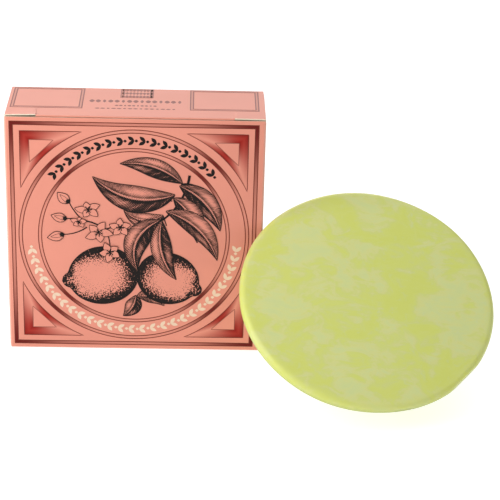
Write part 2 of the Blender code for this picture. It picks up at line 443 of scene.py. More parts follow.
def make_lid(end):
    """The lid, from its crease on the wall to its fold, or to its tongues' cut edges."""
    at, _ = fold([(BACK, TALL - CREASE - 0.02), (BACK, TALL, CREASE), (0, TALL)], 3.0)
    turned, turned_out = at(np.linspace(0, 1.12 * CREASE * math.pi / 2, 9))
    inner_x = SLIT_WIDTH + LID_HALF - SLIT
    tongue = np.linspace(LID_HALF, inner_x, 10)
    shown = inner_x - SLIT_WIDTH
    across = np.concatenate([-tongue, np.linspace(-shown, shown, 31), tongue[::-1]])
    is_tongue = np.abs(across) >= inner_x
    edge = np.where(is_tongue, TONGUE_FRONT, FOLD_FRONT + FOLD)
    run = np.linspace(0, 1, 12)[1:]
    flat_y = turned[-1, 0] + (edge - turned[-1, 0])[:, None] * run
    near_edge = np.clip((FRONT + TONGUE_RUN - flat_y) / TONGUE_RUN, 0, 1)
    side = np.where(across < 0, TONGUE_LIFT[-1], TONGUE_LIFT[1])
    opening = np.clip((LID_HALF - np.abs(across)) / SLIT, 0, 1) ** 0.7
    lift = (side * opening * is_tongue)[:, None] * near_edge ** 2 * (end == "top")
    rows = len(across)
    lid_y = np.concatenate([np.tile(turned[:, 0], (rows, 1)), flat_y], 1)
    lid_z = np.concatenate([np.tile(turned[:, 1], (rows, 1)), TALL + lift], 1)
    out_y = np.concatenate([turned_out[:, 0], 0 * run])
    out_z = np.concatenate([turned_out[:, 1], 0 * run + 1])
    outer = np.stack([across[:, None] + 0 * lid_y, lid_y, lid_z], -1)
    out = np.stack([0 * out_y, out_y, out_z], -1)
    # The back crease is painted paler where it turns: cracked ink and a painted highlight.
    crease_wear_and_highlight = CREASE_WEAR_AND_HIGHLIGHT * 2 * np.abs(out_y * out_z) + 0 * lid_y
    return half_turn(outer, end), half_turn(outer - BOARD * out, end), {"crease_wear_and_highlight": crease_wear_and_highlight}


def make_tuck(end):
    """The tuck: it rolls over at the fold and leans in, with its free corners round.

    The roll is a bead that hangs over the wall's cut edge, and the strip steps in beneath it.
    """
    lean = (math.sin(TUCK_LEAN), -math.cos(TUCK_LEAN))
    foot = (FOLD_FRONT + TUCK_REACH * lean[0], TALL + TUCK_REACH * lean[1])
    at, lengths = fold(
        [
            (FOLD_FRONT + FOLD, TALL), (FRONT + OVERHANG, TALL, BEAD_RADIUS),
            (FRONT + OVERHANG, TALL - BEAD_DEEP, STEP_RADIUS),
            (FOLD_FRONT, TALL - STEP_DEEP, STEP_RADIUS), foot,
        ], 2.0,
    )
    corner_x = np.sin(np.linspace(0, math.pi / 2, 9)) * TUCK_CORNER
    inner_x = LID_HALF - SLIT
    right = np.concatenate(
        [[inner_x + 0.01], np.linspace(inner_x + 0.4, TUCK_HALF - TUCK_CORNER, 3)[:-1],
         TUCK_HALF - TUCK_CORNER + corner_x]
    )
    across = np.concatenate([-right[::-1], np.linspace(-inner_x, inner_x, 25), right])
    is_shoulder = np.abs(across) > inner_x
    begin = np.where(is_shoulder, 3.4 * FOLD, 0.0)
    into_corner = np.clip(np.abs(across) - TUCK_HALF + TUCK_CORNER, 0, TUCK_CORNER)
    finish = lengths[-1] - TUCK_CORNER + np.sqrt(TUCK_CORNER ** 2 - into_corner ** 2)
    share = np.concatenate([np.linspace(0, 0.17, 24), np.linspace(0.2, 1, 10)])
    distance = begin[:, None] + (finish - begin)[:, None] * share
    strip, strip_out = at(distance)
    outer = np.stack([across[:, None] + 0 * distance, strip[..., 0], strip[..., 1]], -1)
    out = np.stack([0 * distance, strip_out[..., 0], strip_out[..., 1]], -1)
    # Only the roll's upper front side is painted paler: a painted highlight where it faces the light,
    # with cracked ink.
    crease_wear_and_highlight = FOLD_WEAR_AND_HIGHLIGHT * 2 * np.clip(-strip_out[..., 0] * strip_out[..., 1], 0, 1)
    return half_turn(outer, end), half_turn(outer - BOARD * out, end), {"crease_wear_and_highlight": crease_wear_and_highlight}


def make_dust_flap(end, side):
    """A dust flap: it turns in over the side wall, and narrows to its tip."""
    start = TALL - 2 * CREASE
    at, lengths = fold(
        [(RIGHT, start - 0.02), (RIGHT, start + CREASE, CREASE), (RIGHT - DUST_REACH, start + CREASE)],
        2.0,
    )
    strip, strip_out = at(lengths)
    run = (RIGHT - strip[:, 0]) / DUST_REACH
    into_corner = np.clip(run * DUST_REACH - DUST_REACH + DUST_CORNER, 0, DUST_CORNER)
    pulled = DUST_CORNER - np.sqrt(DUST_CORNER ** 2 - into_corner ** 2)
    low_y = DUST_ROOT[0] + (DUST_TIP[0] - DUST_ROOT[0]) * run + pulled
    high_y = DUST_ROOT[1] + (DUST_TIP[1] - DUST_ROOT[1]) * run - pulled
    across = np.linspace(0, 1, 9)
    flap_y = low_y[:, None] + (high_y - low_y)[:, None] * across
    outer = np.stack([side * strip[:, :1] + 0 * flap_y, flap_y, strip[:, 1:] + 0 * flap_y], -1)
    out = np.stack([side * strip_out[:, 0], 0 * run, strip_out[:, 1]], -1)[:, None]
    # The crease is painted paler where it turns: cracked ink and a painted highlight.
    crease_wear_and_highlight = CREASE_WEAR_AND_HIGHLIGHT * 2 * np.abs(strip_out[:, :1] * strip_out[:, 1:]) + 0 * flap_y
    return half_turn(outer, end), half_turn(outer - BOARD * out, end), {"crease_wear_and_highlight": crease_wear_and_highlight}


for end in ("top", "bottom"):
    lid = board_piece(f"{end}_lid_board", make_lid(end), f"{end}_lid")
    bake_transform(lid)
    tuck = board_piece(f"{end}_tuck_board", make_tuck(end), f"{end}_tuck")
    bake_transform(tuck)
    for side, word in ((-1, "left"), (1, "right")):
        flap = make_dust_flap(end, side)
        dust = board_piece(f"{end}_dust_board_{word}", flap, f"{end}_dust_flap_{word}")
        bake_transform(dust)


# --------------------------------------
# The printed face: a square frame of two lines, a corner piece in each corner, two double rings
# and a band of leaves and beads between them. It is offset printed, and its reds fade into the
# salmon. Each layer of ink is a skin 0.02 mm proud of the one beneath, so overprints stay apart.
# --------------------------------------

INK = 0.02
SUNK = 0.05         # how deep the back of a patch of ink is sunk in the board
PRINT_X = -0.33
PRINT_Z = 42.3
FRAME_HALF = 40.65
FRAME_BAND = 1.4
LINE = 0.14         # half the width of a line
FRAME_FADE = 19.0   # mm from a corner of the frame
RING_FADE = 15.0    # degrees from a diagonal
RINGS = ((37.1, 38.2), (30.7, 31.75))
LINE_INK = "#6a2a1c"
DEEP_RED = "#620a03"
BRIGHT_RED = "#9a1407"
KEY_BLACK = "#120a08"
CREAM = "#e0c6ae"
VARNISH = 0.4       # the roughness of varnish over ink


def on_front(flat, layer):
    """Flat points about the print's middle as a skin of ink on the front wall, and its back."""
    x, z = PRINT_X + flat[..., 0], PRINT_Z + flat[..., 1]
    y = FRONT - bulge(x, z) - INK * layer
    return np.stack([x, y, z], -1), np.stack([x, y + SUNK, z], -1)


def ink_values(shape, code, cover):
    """The colour of the ink and how much of the board it covers, at each point of a grid."""
    return {"ink": np.broadcast_to(linear(code), shape + (4,)), "cover": cover + np.zeros(shape)}


def ink_patch(flat, layer, code, cover=1.0, wrap=False, surface=on_front):
    """A patch of ink of one colour on a surface."""
    return slab(*surface(flat, layer), ink_values(flat.shape[:2], code, cover), wrap)


def beside(path, closed):
    """The unit normals to the left of a path, all the way round if it is closed."""
    if closed:
        way = np.roll(path, -1, 0) - np.roll(path, 1, 0)
    else:
        way = np.gradient(path, axis=0)
    way = way / np.maximum(np.linalg.norm(way, axis=1), 1e-9)[:, None]
    return np.stack([-way[:, 1], way[:, 0]], -1)


def stroke(path, half_width, closed=False):
    """A strip of ink along a path, half_width to each side of it."""
    aside = beside(path, closed) * np.reshape(half_width, (-1, 1))
    return np.stack([path - aside, path + aside], 1)


def circle(radius, start=0.0, end=360.0, count=241):
    """Points on an arc about the print's middle, from one angle in degrees to another."""
    angle = np.radians(np.linspace(start, end, count))
    return radius * np.stack([np.cos(angle), np.sin(angle)], -1)


def run(a, b, count):
    """Points on the straight line from a, one for each of the count steps that lead to b."""
    return a + (np.array(b) - a) * np.linspace(0, 1, count, False)[:, None]


# Offset ink under the same varnish: its sheen is the board's, and its tint lets the salmon by.
offset_ink, tree, place = new_material("offset_ink_on_varnished_board")
ink = add_node(tree, "Attribute", {"attribute_name": "ink"})
cover = add_node(tree, "Attribute", {"attribute_name": "cover"}).outputs["Fac"]
printed = add_node(tree, "MixRGB", {}, {0: cover, 1: board_colour(tree, place), 2: ink})
finish_board(tree, place, printed, VARNISH)


def frame_slabs():
    """Two mitred squares of line, and the red between them, which fades from each corner.

    The fade is 0.24 + 0.76 x exp(-(distance from the corner / FRAME_FADE) squared).
    """
    slabs = []
    inner = FRAME_HALF - FRAME_BAND
    square = np.array([(-1, -1), (1, -1), (1, 1), (-1, 1)], float)
    share = np.linspace(0, 1, 61)[:, None]
    corner = FRAME_HALF * (1 - np.abs(1 - 2 * share))
    fade = 0.24 + 0.76 * np.exp(-((corner / FRAME_FADE) ** 2))
    for k in range(4):
        a, b = square[k], square[(k + 1) % 4]
        for near, far, layer, code in (
            (FRAME_HALF, FRAME_HALF - 2 * LINE, 2, LINE_INK),
            (inner + 2 * LINE, inner, 2, LINE_INK), (FRAME_HALF - LINE, inner + LINE, 1, DEEP_RED),
        ):
            flat = np.stack([near * (a + (b - a) * share), far * (a + (b - a) * share)], 1)
            slabs.append(ink_patch(flat, layer, code, fade if layer == 1 else 1.0))
    return slabs


def ring_slabs():
    """Four circles of line in two pairs, with red between a pair that fades off the diagonals."""
    slabs = []
    for inner, outer in RINGS:
        for radius in (inner, outer):
            slabs.append(ink_patch(stroke(circle(radius)[:-1], LINE, True), 2, LINE_INK, 1.0, True))
        turn = np.linspace(0, 360, 361)[:-1]
        away = turn % 90 - 45
        flat = np.stack([circle(inner, 0, 359, 360), circle(outer, 0, 359, 360)], 1)
        fade = 0.10 + 0.88 * np.exp(-((away / RING_FADE) ** 2))
        slabs.append(ink_patch(flat, 1, DEEP_RED, fade[:, None], True))
    return slabs


CORNER_EDGE = 37.25
CORNER_ARC = 41.0
CORNER_INNER = 34.2
CORNER_SHORT = 26.3


def corner_slabs(sx, sy):
    """A corner piece: a right angle closed by an arc about the middle, round a plain triangle.

    Both outlines are read at the same shares of their way round, and the red between them is
    strongest at the right angle and in the middle of the arc.
    """
    start = math.degrees(math.acos(CORNER_EDGE / CORNER_ARC))
    arc = circle(CORNER_ARC, 90 - start, start, 25)
    angle_at = np.array([CORNER_EDGE, CORNER_EDGE])
    outer = np.concatenate([run(angle_at, arc[0], 20), arc[:-1], run(arc[-1], angle_at, 20)])
    near = np.array([CORNER_INNER, CORNER_INNER])
    low = np.array([CORNER_INNER, CORNER_SHORT])
    inner = np.concatenate([run(near, low[::-1], 20), run(low[::-1], low, 24), run(low, near, 20)])
    steps = ((0, 0.5, 20), (0.5, 1.5, 24), (1.5, 2, 20))
    way = np.concatenate([np.linspace(a, b, count, False) for a, b, count in steps])
    strength = 0.5 + 0.5 * np.cos(2 * math.pi * way)
    strength = 0.05 + 0.95 * strength ** 0.7
    across = np.linspace(0, 1, 5)[:, None]
    flat = outer[:, None] + (inner - outer)[:, None] * across
    flat = flat * (sx, sy)
    cover = strength[:, None] * np.array([1.0, 0.98, 0.94, 0.98, 1.0])
    values = ink_values(flat.shape[:2], DEEP_RED, cover)
    shade = np.array([0.7, 0.25, 0.0, 0.15, 0.6])[None, :, None]
    bright = np.array(linear(BRIGHT_RED))
    values["ink"] = bright + (values["ink"] - bright) * shade
    slabs = [slab(*on_front(flat, 1), values, True)]
    slabs.append(ink_patch(stroke(outer * (sx, sy), 0.11, True), 2, LINE_INK, 1.0, True))
    slabs.append(ink_patch(stroke(inner * (sx, sy), 0.09, True), 2, LINE_INK, 0.8, True))
    return slabs


BAND_MIDDLE = (RINGS[0][0] + RINGS[1][1]) / 2
LEAFLET = 2.5
LEAFLET_HALF = 0.62
LEAFLET_OPEN = 0.62     # radians from the band's own way
BEAD = (1.1, 0.5)
BEAD_AT = 0.31          # of the way along a pitch


def leaflet(base, direction, length, half):
    """A small leaf: a straight line of a length, half wide in its middle by a sine."""
    share = np.linspace(0.0, 1.0, 9)
    way = np.array([math.cos(direction), math.sin(direction)])
    path = np.array(base) + way * (length * share)[:, None]
    return stroke(path, half * np.sin(math.pi * np.clip(share, 0.02, 0.98)) ** 0.8)


def band_slabs(start, end, count, code):
    """Pairs of leaflets that open along the band, with a bead between one pair and the next.

    The band runs from one angle in degrees to another.
    """
    slabs = []
    pitch = (end - start) / count
    for k in range(count):
        middle = math.radians(start + pitch * (k + 0.5))
        base = BAND_MIDDLE * np.array([math.cos(middle), math.sin(middle)])
        forward = middle + math.pi / 2
        for side in (-1, 1):
            leaf = leaflet(base, forward + side * LEAFLET_OPEN, LEAFLET, LEAFLET_HALF)
            slabs.append(ink_patch(leaf, 1, code))
        bead = math.radians(start + pitch * (k + BEAD_AT))
        dot = BAND_MIDDLE * np.array([math.cos(bead), math.sin(bead)])
        slabs.append(ink_patch(leaflet(dot - (BEAD[0] / 2, 0), 0.0, *BEAD), 1, code))
    return slabs


def print_piece(name, slabs, material=offset_ink, body="carton"):
    """A piece of print that rides on a body of the carton."""
    piece = make_piece(name, slabs, [material])
    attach(piece, body)


print_piece("front_frame_print", frame_slabs())
print_piece("front_ring_print", ring_slabs())
corners = [one for sx in (-1, 1) for sy in (-1, 1) for one in corner_slabs(sx, sy)]
print_piece("front_corner_print", corners)
print_piece("front_upper_band_print", band_slabs(38, 142, 17, KEY_BLACK))
print_piece("front_lower_band_print", band_slabs(185, 355, 28, CREAM))


# --------------------------------------
# The engraving: a sprig with two lemons, its leaves, buds and blossoms, in black over the
# salmon. Leaves are shaded with ruled lines, as a wood engraver cuts them, and the peel with
# dots. Real rulings are about 0.25 mm apart, and these are twice as coarse so that they show.
# --------------------------------------

RULING = 0.55
RULING_SLANT = 0.8  # mm along a leaf for each mm across it
RULING_WAVER = 2.5  # mm
STIPPLE = 0.5
DOT_RISE = 1.25
INK_SPREAD = 0.10   # how softly a line or a dot ends


def shaded(grid, layer, tone):
    """A patch of engraving: its tone from 0 to 1, and how far each point is along its middle and
    from its middle, in mm."""
    middle = grid[:, grid.shape[1] // 2]
    steps = np.linalg.norm(np.diff(middle, axis=0), axis=1)
    along = np.concatenate([[0], np.cumsum(steps)])[:, None] + 0 * tone
    across = np.linalg.norm(grid - middle[:, None], axis=-1)
    return slab(*on_front(grid, layer), {"tone": tone, "along": along, "across": across})


def curve(a, b, bow, count=33):
    """A path from a to b that bows to its left by bow x its length, along a parabola."""
    a, b = np.array(a, float), np.array(b, float)
    share = np.linspace(0, 1, count)[:, None]
    left = np.array([-(b - a)[1], (b - a)[0]])
    return a + (b - a) * share + left * bow * 4 * share * (1 - share)


def leaf_shape(base, tip, bow, left, right):
    """A leaf as a grid: the midrib is a bowed path and the sides swell to left and right mm.

    A side's width is its swell x sin(pi x share to the power 0.85), which is fullest nearer the
    base and drawn out at the tip.
    """
    path = curve(base, tip, bow)
    share = np.linspace(0, 1, len(path))
    swell = np.sin(math.pi * np.clip(share, 0.004, 0.996) ** 0.85) ** 0.9
    across = np.linspace(-1, 1, 17)
    side = beside(path, False)
    width = np.where(across < 0, right, left) * across
    return path[:, None] + side[:, None] * (swell[:, None] * width)[..., None]


def leaf_tone(dark_side, depth, glow):
    """A leaf's tone: dark along the midrib and on its shaded side, pale in a glow on the other."""
    share = np.linspace(0, 1, 33)[:, None]
    across = np.linspace(-1, 1, 17)[None]
    shaded_half = across * dark_side > 0
    tone = np.where(shaded_half, depth, depth - 0.24)
    tone = tone + 0.3 * np.exp(-((np.abs(across) - 0.14) / 0.16) ** 2)
    tone = tone + 0.2 * np.abs(across) ** 4 + 0.25 * (share - 0.5) ** 2
    patch = np.exp(-((share - glow) / 0.19) ** 2 - ((across * dark_side + 0.5) / 0.3) ** 2)
    fold = np.exp(-((share - glow - 0.2) / 0.13) ** 2 - ((across * dark_side - 0.55) / 0.25) ** 2)
    veins = np.cos(2 * math.pi * (share * 6.5 - 1.3 * np.abs(across)))
    tone = tone - 0.75 * patch - 0.5 * fold - 0.9 * np.clip(veins - 0.7, 0, 1)
    tone = np.where(np.abs(across) < 0.05, 0.0, tone)
    return np.clip(tone, 0.02, 1.1)


def outline(grid, layer, half=0.10):
    """A line of key black round a leaf, a petal or a fruit."""
    path = np.concatenate([grid[:, 0], grid[::-1, -1]])
    return ink_patch(stroke(path, half, True), layer, KEY_BLACK, 1.0, True)


def ruled_ink(name, spacing, stippled):
    """Black ink whose lines or dots widen with the piece's tone, over the printed board."""
    material, tree, place = new_material(name)
    tone = add_node(tree, "Attribute", {"attribute_name": "tone"}).outputs["Fac"]
    if stippled:
        cells = {"Scale": 1 / (spacing * MM), "Randomness": 0.8}
        dots = add_node(tree, "TexVoronoi", cells, {"Vector": place})
        shape = add_node(tree, "Math", {"operation": "MULTIPLY", 1: DOT_RISE}, {0: dots})
    else:
        along = add_node(tree, "Attribute", {"attribute_name": "along"}).outputs["Fac"]
        across = add_node(tree, "Attribute", {"attribute_name": "across"}).outputs["Fac"]
        back = add_node(tree, "Math", {"operation": "MULTIPLY", 1: -RULING_SLANT}, {0: across})
        waver = {"Scale": 1 / (RULING_WAVER * MM), "Detail": 2.0}
        wobble = add_node(tree, "TexNoise", waver, {"Vector": place})
        slanted = add_node(tree, "Math", {"operation": "ADD"}, {0: along, 1: back})
        loose = add_node(tree, "Math", {"operation": "ADD"}, {0: slanted, 1: wobble})
        teeth = add_node(tree, "Math", {"operation": "PINGPONG", 1: spacing / 2}, {0: loose})
        shape = add_node(tree, "Math", {"operation": "MULTIPLY", 1: 2 / spacing}, {0: teeth})
    over = add_node(tree, "Math", {"operation": "SUBTRACT"}, {0: tone, 1: shape})
    soft = {"From Min": -INK_SPREAD, "From Max": INK_SPREAD}
    inked = add_node(tree, "MapRange", soft, {"Value": over})
    board = board_colour(tree, place)
    colour = add_node(tree, "MixRGB", {2: linear(KEY_BLACK)}, {0: inked, 1: board})
    finish_board(tree, place, colour, VARNISH)
    return material


# Ruled lines that swell into black, as on a wood engraving, and dots that grow until they join:
# from further off both turn to greys on the salmon.
leaf_ruling = ruled_ink("engraved_leaf_ruling", RULING, False)
peel_stipple = ruled_ink("engraved_peel_stipple", STIPPLE, True)

# The leaves, in turn down the two sides of an arching twig: where each starts and where its tip
# is, how it bows, how wide its two halves are, which half is in shade, how dark it is and where
# its glow lies.
LEAVES = (
    ((15.8, 19.8), (-4.6, 26.4), -0.12, 3.7, 2.9, 1, 0.98, 0.50),
    ((15.0, 18.8), (28.6, 2.8), 0.12, 3.9, 3.6, -1, 1.00, 0.50),
    ((13.4, 15.6), (-13.6, 21.6), 0.16, 4.9, 4.6, 1, 0.94, 0.42),
    ((13.0, 14.4), (21.0, -1.6), 0.12, 4.2, 3.2, -1, 1.00, 0.34),
    ((10.6, 9.6), (27.8, -8.0), 0.13, 4.2, 3.1, -1, 0.92, 0.46),
    ((9.6, 8.2), (-3.4, 9.8), 0.20, 2.9, 2.5, 1, 0.86, 0.45),
    ((8.6, 6.4), (1.2, -12.4), -0.22, 4.2, 4.1, 1, 1.00, 0.46),
    ((9.2, 6.2), (14.2, -15.4), -0.12, 3.8, 3.2, 1, 0.94, 0.40),
    ((0.6, -21.6), (-3.6, -29.4), 0.12, 2.9, 2.6, 1, 1.00, 0.5),
    ((1.0, -22.0), (10.2, -25.4), 0.16, 2.9, 2.2, -1, 0.86, 0.5),
)
LEAF_LAYERS = (6, 5, 6, 6, 7, 5, 8, 9, 3, 4)

leaf_slabs = []
line_slabs = []
for (base, tip, bow, left, right, dark, depth, glow), layer in zip(LEAVES, LEAF_LAYERS):
    grid = leaf_shape(base, tip, bow, left, right)
    leaf_slabs.append(shaded(grid, layer, leaf_tone(dark, depth, glow)))
    line_slabs.append(outline(grid, layer + 0.5))
print_piece("sprig_leaf_print", leaf_slabs, leaf_ruling)

# The lemons: where the stem meets each and where its nipple is, and half its girth.
LEMONS = (((1.0, -11.4), (-24.0, -16.6), 10.6), ((1.4, -11.6), (22.6, -20.2), 9.4))


def lemon_shape(stem, nipple, girth):
    """A lemon in outline: an ellipse that runs out into a small round nipple at its far end."""
    path = curve(stem, nipple, 0.02, 49)
    share = np.linspace(0, 1, 49)
    body = np.sqrt(np.clip(1 - ((share - 0.455) / 0.455) ** 2, 0, 1))
    end = 0.27 * np.sqrt(np.clip(1 - ((share - 0.86) / 0.14) ** 2, 0, 1))
    width = np.clip((body ** 3 + end ** 3) ** (1 / 3), 0.004, 1) * girth
    across = np.linspace(-1, 1, 33)
    return path[:, None] + beside(path, False)[:, None] * (width[:, None] * across)[..., None]


def lemon_tone(grid):
    """Shade that deepens towards the edge, most at the top, the foot and towards the middle."""
    share = np.linspace(0, 1, 49)[:, None]
    across = np.linspace(-1, 1, 33)[None]
    edge = np.maximum(np.abs(across), np.abs(share - 0.47) / 0.5)
    up = grid[..., 1] - grid[..., 1].mean()
    up = up / np.abs(up).max()
    inward = 1 - np.abs(grid[..., 0]) / 24
    tone = 0.24 + 0.72 * edge ** 3.0
    tone = tone + 0.7 * np.clip(up - 0.3, 0, 1) + 0.55 * np.clip(-up - 0.5, 0, 1)
    tone = tone + 0.9 * np.clip(inward - 0.4, 0, 1) * edge
    tone = tone + 0.35 * np.exp(-((share - 0.86) / 0.035) ** 2) * (np.abs(across) > 0.3)
    sheen = np.exp(-((share - 0.5) / 0.25) ** 2 - ((across + 0.1) / 0.5) ** 2)
    return np.clip(tone - 0.2 * sheen, 0, 1.1)


lemon_slabs = []
for (stem, nipple, girth), layer in zip(LEMONS, (4, 5)):
    grid = lemon_shape(stem, nipple, girth)
    lemon_slabs.append(shaded(grid, layer, lemon_tone(grid)))
    line_slabs.append(outline(grid, layer + 0.5, 0.14))
print_piece("sprig_lemon_print", lemon_slabs, peel_stipple)

# The twig and the stalks, as strokes that taper: start, end, bow and half width at each end.
STALKS = (
    ((18.2, 22.6), (9.4, 6.4), 0.10, 0.62, 0.42), ((15.4, 19.4), (20.6, 18.8), 0.1, 0.34, 0.2),
    ((9.4, 7.2), (8.4, 3.4), 0.0, 0.42, 0.30), ((9.6, 8.0), (10.8, 4.4), 0.0, 0.3, 0.2),
    ((12.6, 13.4), (9.0, 14.6), 0.1, 0.2, 0.1), ((-16.6, 5.6), (-21.6, 12.8), 0.06, 0.28, 0.2),
    ((-16.6, 5.4), (-22.6, 6.4), -0.06, 0.28, 0.2), ((-15.6, 3.4), (-23.6, 0.6), 0.08, 0.28, 0.18),
    ((-17.0, 5.8), (-9.6, 2.6), 0.08, 0.34, 0.34), ((-9.6, 2.8), (-3.4, 3.4), 0.06, 0.3, 0.2),
    ((-9.6, 2.8), (-8.0, -4.0), 0.06, 0.3, 0.2), ((-3.6, 3.4), (4.0, 2.6), -0.06, 0.2, 0.12),
)
for start, finish, bow, thick, thin in STALKS:
    path = curve(start, finish, bow, 13)
    half_width = np.linspace(thick, thin, 13) / 1.4
    line_slabs.append(ink_patch(stroke(path, half_width), 5, KEY_BLACK))

# Each blossom: its middle, its size, how it is turned and how far it is seen from the side.
BLOSSOMS = (
    ((-15.2, 9.8), 4.0, 0.5, 0.80), ((-11.8, 1.6), 4.5, 1.1, 0.90), ((-4.6, 3.6), 3.9, 0.3, 0.85),
    ((-8.0, -5.6), 4.1, 0.7, 0.85), ((-18.2, 5.4), 2.9, 1.4, 0.65),
)
STAMEN = 0.34       # of a blossom's size
# Each bud: its base, its tip and half its girth.
BUDS = (
    ((-21.2, 12.2), (-25.2, 15.8), 1.75), ((-22.2, 6.4), (-27.4, 7.6), 1.6),
    ((-23.2, 0.8), (-28.8, -0.6), 1.7),
)


def petal_tone(dark):
    """A petal's tone: bare board, but for a little shade at its base."""
    share = np.linspace(0, 1, 33)[:, None]
    across = np.linspace(-1, 1, 17)[None]
    return np.clip(dark * (1 - share / 0.35), 0, 1) + 0 * across


blossom_slabs = []
for number, (middle, size, turned, tilt) in enumerate(BLOSSOMS):
    layer = 10 + 3 * number
    for k in range(5):
        angle = turned + 2 * math.pi * k / 5
        reach = size * (1 + 0.12 * math.cos(3 * k + number))
        tip = (middle[0] + reach * math.cos(angle), middle[1] + reach * tilt * math.sin(angle))
        grid = leaf_shape(middle, tip, 0.05, 0.3 * size, 0.3 * size)
        blossom_slabs.append(shaded(grid, layer + 0.4 * k, petal_tone(0.9)))
        line_slabs.append(outline(grid, layer + 0.4 * k + 0.2, 0.10))
    for k in range(6):
        angle = turned + 0.6 + 2 * math.pi * k / 6
        tip = middle + STAMEN * size * np.array([math.cos(angle), math.sin(angle)])
        stamen = stroke(curve(middle, tip, 0.1, 7), 0.16)
        line_slabs.append(ink_patch(stamen, layer + 2.4, KEY_BLACK))
for base, tip, girth in BUDS:
    grid = leaf_shape(base, tip, 0.04, girth, girth)
    blossom_slabs.append(shaded(grid, 8, petal_tone(0.8)))
    line_slabs.append(outline(grid, 8.4, 0.11))
    base, reach = np.array(base), np.array(tip) - base
    inside = leaf_shape(base, base + 0.8 * reach, 0.0, 0.45 * girth, 0.3 * girth)
    line_slabs.append(outline(inside, 8.4, 0.07))
    calyx = leaf_shape(base, base + 0.28 * reach, 0.0, 0.5 * girth, 0.5 * girth)
    line_slabs.append(ink_patch(calyx, 8.8, KEY_BLACK))
print_piece("sprig_blossom_print", blossom_slabs, leaf_ruling)
print_piece("sprig_line_print", line_slabs)


# --------------------------------------
# The print on the lid, the sides and the back: plain double-lined panels, and on the lid a small
# chequered cartouche over rows of lozenges.
# --------------------------------------

PANEL_LINE = 0.17
PANEL_BAND = 0.95
# Rows of lozenges on the lid: y, start, end, how many, length and half width.
LID_ROWS = (
    (0.8, -15.8, 15.2, 15, 1.75, 1.25), (-3.2, -7.2, 6.8, 10, 1.2, 0.55),
    (-6.0, -13.6, 13.2, 15, 1.6, 0.45),
)
LID_PANELS = ((-41.2, -6.4, -17.6, 12.4), (17.6, -6.4, 40.4, 12.4))


def on_lid(flat, layer):
    """Flat points in x and y as a skin of ink on the top lid, and its back."""
    x, y = flat[..., 0], flat[..., 1]
    return np.stack([x, y, 0 * x + TALL + INK * layer], -1), np.stack([x, y, 0 * x + TALL - SUNK], -1)


def on_back(flat, layer):
    """The same on the back wall."""
    x, z = flat[..., 0], flat[..., 1]
    y = BACK + bulge(x, z) + INK * layer
    return np.stack([x, y, z], -1), np.stack([x, y - SUNK, z], -1)


def on_side(side):
    """The same on the left (-1) or the right (1) wall."""
    edge = LEFT if side < 0 else RIGHT

    def surface(flat, layer):
        y, z = flat[..., 0], flat[..., 1]
        x = edge + side * INK * layer + 0 * y
        return np.stack([x, y, z], -1), np.stack([x - side * SUNK, y, z], -1)

    return surface


def panel_slabs(low_x, low_y, high_x, high_y, surface, cover=0.9):
    """A rectangle of two lines, one inside the other, with a tint between them at its sides."""
    slabs = []
    for inset in (0.0, PANEL_BAND):
        corners_at = []
        for grow in (0.0, 2 * PANEL_LINE):
            a, b = low_x + inset + grow, low_y + inset + grow
            c, d = high_x - inset - grow, high_y - inset - grow
            corners_at.append(np.array([(a, b), (c, b), (c, d), (a, d)]))
        for k in range(4):
            share = np.linspace(0, 1, 25)[:, None]
            strips = [c[k] + (c[(k + 1) % 4] - c[k]) * share for c in corners_at]
            slabs.append(ink_patch(np.stack(strips, 1), 2, LINE_INK, cover, False, surface))
    for x in (low_x, high_x - PANEL_BAND):
        flat = np.array([[(at, y) for at in (x, x + PANEL_BAND)] for y in (low_y, high_y)])
        slabs.append(ink_patch(flat, 1, LINE_INK, 0.3, False, surface))
    return slabs


def row_slabs(y, start, end, count, length, half):
    """A row of lozenges on the lid, two long ones and a short one in turn."""
    slabs = []
    for k in range(count):
        x = start + (end - start) * (k + 0.5) / count
        reach = length * (0.62 if k % 3 == 2 else 1.0)
        grid = leaflet((x - reach / 2, y), 0.0, reach, half)
        slabs.append(ink_patch(grid, 1, LINE_INK, 0.85, False, on_lid))
    return slabs


lid_slabs = [one for panel in LID_PANELS for one in panel_slabs(*panel, on_lid)]
lid_slabs += [one for row in LID_ROWS for one in row_slabs(*row)]
for k in range(9):
    x = -4.6 + 1.15 * k
    for y in (5.4, 8.4, 11.4):
        check = leaflet((x - 0.55, y), 0.0, 1.1, 1.1)
        lid_slabs.append(ink_patch(check, 1, LINE_INK, 0.8, False, on_lid))
lid_slabs += panel_slabs(-5.6, 4.2, 5.4, 12.6, on_lid, 0.7)
print_piece("lid_print", lid_slabs, body="top_lid")
print_piece("back_print", panel_slabs(-41.0, 2.0, 40.4, 82.6, on_back))
side_slabs = [one for s in (-1, 1) for one in panel_slabs(-11.0, 3.6, 11.0, 81.4, on_side(s))]
print_piece("side_print", side_slabs)


# --------------------------------------
# The soap: hard milled soap pressed from noodles of two batches, so that yellow and pale green
# clumps show all through it. Its face is nearly flat, its rim is rounded and a little dented
# from handling, and its foot is worn flat where it stands.
# --------------------------------------

PUCK_RADIUS = 41.9
PUCK_THICKNESS = 22.0
PUCK_RIM = 2.0
PUCK_FOOT = 4.0
PUCK_TAPER = math.radians(34)
PUCK_TIP = math.radians(32.7)
PUCK_TURN = math.radians(10.3)
PUCK_PLACE = (76.6, -34.3, 32.37)
FLATS = ((-51, 0.42), (129, 0.15), (-84, 0.30))     # degrees round the rim, and how deep
ROWS = 240
AXIS_GAP = 0.4      # the innermost ring of the mesh, which a fan closes
SHADE_BAND_DROP = 1.0  # how far under the rim's arc the band of painted shade lies
SHADE_BAND_HALF = 1.1


